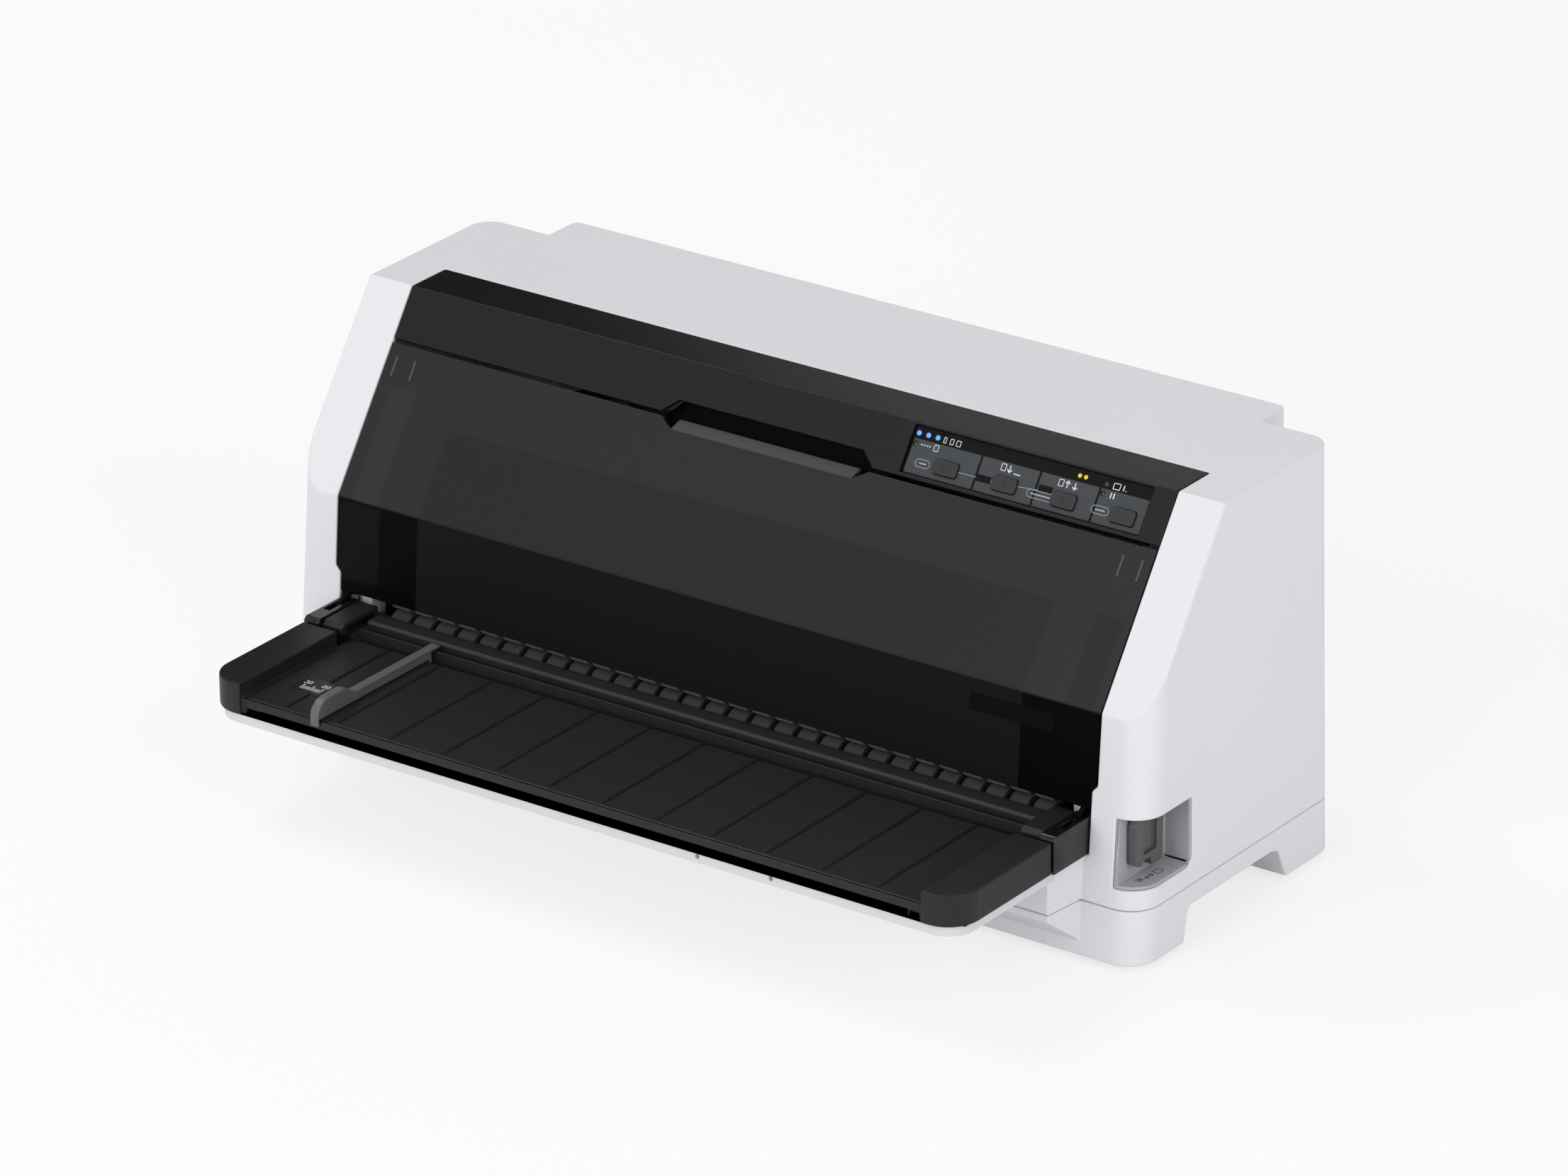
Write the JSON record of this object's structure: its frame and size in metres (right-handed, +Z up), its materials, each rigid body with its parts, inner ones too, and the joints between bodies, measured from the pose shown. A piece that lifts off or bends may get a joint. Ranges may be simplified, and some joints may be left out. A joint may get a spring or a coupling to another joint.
{
  "type": "dot matrix printer",
  "caption": "Flatbed dot matrix printer: pale wedge case, smoked hinged cover, sloping key panel, sheet table with sliding edge guide, and a working print carriage and feed gear train.",
  "frame": {"origin": "middle of the box round the whole printer, at the plane the feet stand on", "axes": "+X to the right along the width, +Y to the back, +Z up"},
  "size_m": [0.4807, 0.2726, 0.2025],
  "materials": {
    "case_white": "fine texture",
    "lever_bezel": "satin",
    "band_black": "satin",
    "panel_grey": "satin",
    "lamp_blue": "clear",
    "circuit_board": "lacquered",
    "smoked_cover": "smoked, see-through",
    "satin_black": "satin",
    "gloss_black": "gloss",
    "scale_black": "printed plate",
    "mid_grey": "satin",
    "lever_grey": "satin",
    "frame_steel": "zinc plated sheet",
    "bright_steel": "ground",
    "motor_steel": "plated can",
    "head_aluminium": "cast, blasted",
    "white_nylon": "moulded",
    "bearing_bronze": "sintered",
    "roller_rubber": "ground",
    "foot_rubber": "moulded"
  },
  "bodies": {
    "case": {"lower_case": "case_white", "rubber_feet": "foot_rubber", "upper_case": "case_white", "front_band": "band_black", "panel_plate": "band_black", "panel_film": "panel_grey", "status_lamps": "lamp_blue", "panel_board": "circuit_board", "left_hinge_block": "gloss_black", "right_hinge_block": "gloss_black", "left_guide_cap": "satin_black", "right_guide_cap": "satin_black", "sheet_table": "satin_black", "table_tray": "case_white", "scale_plate": "scale_black", "lever_bezel": "lever_bezel", "lever_pin": "bright_steel", "base_frame": "frame_steel", "left_side_frame": "frame_steel", "right_side_frame": "frame_steel", "front_guide": "satin_black", "rear_guide": "satin_black", "roller_bearings": "white_nylon", "platen_bushes": "bearing_bronze", "gear_axles": "bright_steel", "feed_motor": "motor_steel", "carriage_rod": "bright_steel", "carriage_rail": "frame_steel", "ribbon_cartridge": "satin_black", "carriage_motor": "motor_steel", "timing_belt": "roller_rubber", "main_board": "circuit_board", "power_board": "circuit_board", "interface_plate": "frame_steel", "power_inlet": "band_black", "case_screws": "bright_steel"},
    "cover": {"printer_cover": "smoked_cover", "tear_edge": "bright_steel"},
    "font_button": {"font_key": "band_black"},
    "feed_button": {"feed_key": "band_black"},
    "load_button": {"load_key": "band_black"},
    "pause_button": {"pause_key": "band_black"},
    "guide": {"edge_guide": "mid_grey"},
    "lever": {"paper_lever": "lever_grey"},
    "feed_shaft": {"feed_roller": "roller_rubber", "feed_gear": "white_nylon"},
    "followers": {"follower_rollers": "mid_grey"},
    "platen_shaft": {"platen": "roller_rubber", "platen_gear": "white_nylon"},
    "idler": {"idler_gear": "white_nylon"},
    "reduction": {"reduction_gear": "white_nylon"},
    "pinion": {"motor_pinion": "bright_steel"},
    "carriage_unit": {"carriage": "satin_black", "carriage_bushes": "bearing_bronze", "print_head": "head_aluminium", "ribbon_guide": "satin_black"},
    "ribbon_winder": {"ribbon_knob": "mid_grey"},
    "belt_driver": {"drive_pulley": "bright_steel"},
    "belt_idler": {"idler_pulley": "white_nylon"},
    "rocker": {"power_switch": "band_black"}
  },
  "joints": [
    {"name": "cover_hinge", "type": "hinge", "parent": "case", "child": "cover", "pos_m": [0, -0.03975, 0.0645], "axis": [1, 0, 0], "range_deg": [0, 80]},
    {"name": "font_key_press", "type": "slide", "parent": "case", "child": "font_button", "axis": [0, 0.8183, -0.5748], "range_m": [0, 0.0008], "stiffness_N_per_m": 300, "springref_m": -0.0005},
    {"name": "feed_key_press", "type": "slide", "parent": "case", "child": "feed_button", "axis": [0, 0.8183, -0.5748], "range_m": [0, 0.0008], "stiffness_N_per_m": 300, "springref_m": -0.0005},
    {"name": "load_key_press", "type": "slide", "parent": "case", "child": "load_button", "axis": [0, 0.8183, -0.5748], "range_m": [0, 0.0008], "stiffness_N_per_m": 300, "springref_m": -0.0005},
    {"name": "pause_key_press", "type": "slide", "parent": "case", "child": "pause_button", "axis": [0, 0.8183, -0.5748], "range_m": [0, 0.0008], "stiffness_N_per_m": 300, "springref_m": -0.0005},
    {"name": "edge_guide_slide", "type": "slide", "parent": "case", "child": "guide", "axis": [1, 0, 0], "range_m": [-0.036, 0.03]},
    {"name": "paper_lever_pivot", "type": "hinge", "parent": "case", "child": "lever", "pos_m": [0.2291, -0.01875, 0.1125], "axis": [1, 0, 0], "range_deg": [0, 7]},
    {"name": "platen_spin", "type": "hinge", "parent": "case", "child": "platen_shaft", "pos_m": [0, 0.00225, 0.051], "axis": [1, 0, 0], "continuous": true},
    {"name": "feed_roller_spin", "type": "hinge", "parent": "case", "child": "feed_shaft", "pos_m": [0, -0.02375, 0.0561], "axis": [1, 0, 0], "continuous": true},
    {"name": "follower_spin", "type": "hinge", "parent": "case", "child": "followers", "pos_m": [0, -0.02375, 0.0699], "axis": [1, 0, 0], "continuous": true},
    {"name": "idler_gear_spin", "type": "hinge", "parent": "case", "child": "idler", "pos_m": [-0.2096, -0.01579, 0.04321], "axis": [1, 0, 0], "continuous": true},
    {"name": "reduction_gear_spin", "type": "hinge", "parent": "case", "child": "reduction", "pos_m": [-0.2096, 0.02881, 0.04027], "axis": [1, 0, 0], "continuous": true},
    {"name": "motor_pinion_spin", "type": "hinge", "parent": "case", "child": "pinion", "pos_m": [-0.2096, 0.05048, 0.03566], "axis": [1, 0, 0], "continuous": true},
    {"name": "carriage_slide", "type": "slide", "parent": "case", "child": "carriage_unit", "axis": [1, 0, 0], "range_m": [-0.16, 0.16]},
    {"name": "drive_pulley_spin", "type": "hinge", "parent": "case", "child": "belt_driver", "pos_m": [0.183, 0.06825, 0.0985], "axis": [0, 1, 0], "range_deg": [-1150, 1150]},
    {"name": "idler_pulley_spin", "type": "hinge", "parent": "case", "child": "belt_idler", "pos_m": [-0.183, 0.06825, 0.0985], "axis": [0, 1, 0], "range_deg": [-1150, 1150]},
    {"name": "ribbon_knob_spin", "type": "hinge", "parent": "case", "child": "ribbon_winder", "pos_m": [-0.12, 0.05625, 0.1325], "axis": [0, 0, 1], "continuous": true},
    {"name": "power_rocker_tilt", "type": "hinge", "parent": "case", "child": "rocker", "pos_m": [-0.23355, 0.02025, 0.0485], "axis": [0, 0, -1], "range_deg": [0, 12]}
  ],
  "couplings": [
    {"joint": "feed_roller_spin", "follows": "platen_spin", "ratio": 1.5625},
    {"joint": "follower_spin", "follows": "platen_spin", "ratio": -2.5},
    {"joint": "idler_gear_spin", "follows": "platen_spin", "ratio": -1.7857},
    {"joint": "reduction_gear_spin", "follows": "platen_spin", "ratio": -0.78125},
    {"joint": "motor_pinion_spin", "follows": "platen_spin", "ratio": 2.0833},
    {"joint": "drive_pulley_spin", "follows": "carriage_slide", "rad_per_m": -125},
    {"joint": "idler_pulley_spin", "follows": "carriage_slide", "rad_per_m": -125}
  ]
}
